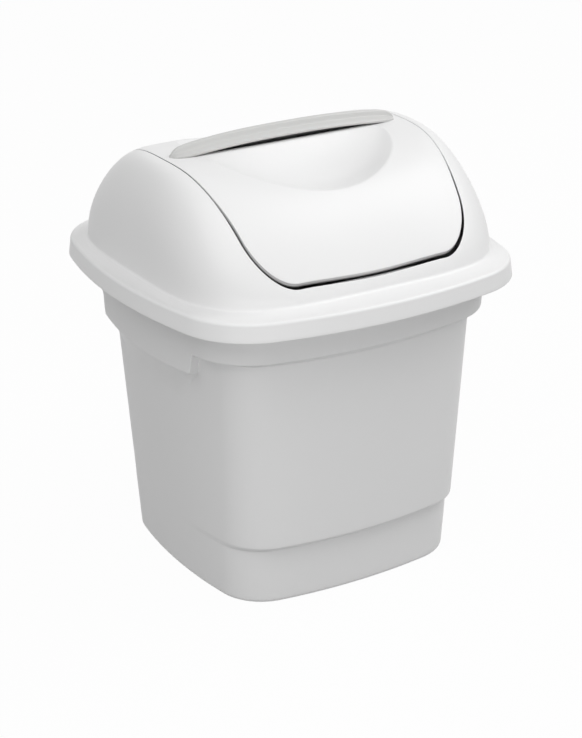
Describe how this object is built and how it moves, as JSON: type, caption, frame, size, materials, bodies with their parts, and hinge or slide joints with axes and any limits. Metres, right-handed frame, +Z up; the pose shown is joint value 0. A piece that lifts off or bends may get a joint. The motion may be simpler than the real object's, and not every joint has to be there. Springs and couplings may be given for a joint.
{
  "type": "countertop trash can with swing lid",
  "caption": "Small tapered countertop bin with a lift-off domed lid whose curved flap swings both ways on hinge pins, with finger scoops and a raised grip bar.",
  "frame": {"origin": "middle of the bucket's base, on the surface that the bin stands on", "axes": "+Z up, -Y towards the front edge of the flap, +X to the right as seen from the front; the hinge axis runs along X"},
  "size_m": [0.202, 0.208, 0.2345],
  "materials": {
    "bucket_plastic": "satin white moulded polypropylene with a fine grain",
    "lid_plastic": "satin white moulded polypropylene",
    "flap_plastic": "satin white moulded polypropylene"
  },
  "bodies": {
    "bin": {"bucket": "bucket_plastic"},
    "lid": {"lid_hood": "lid_plastic"},
    "flap": {"swing_flap": "flap_plastic"}
  },
  "joints": [
    {"name": "lid_lift", "type": "slide", "parent": "bin", "child": "lid", "axis": [0, 0, 1], "range_m": [0, 0.08]},
    {"name": "flap_swing", "type": "hinge", "parent": "lid", "child": "flap", "pos_m": [0, 0, 0.2171], "axis": [1, 0, 0], "range_deg": [-75, 75]}
  ]
}
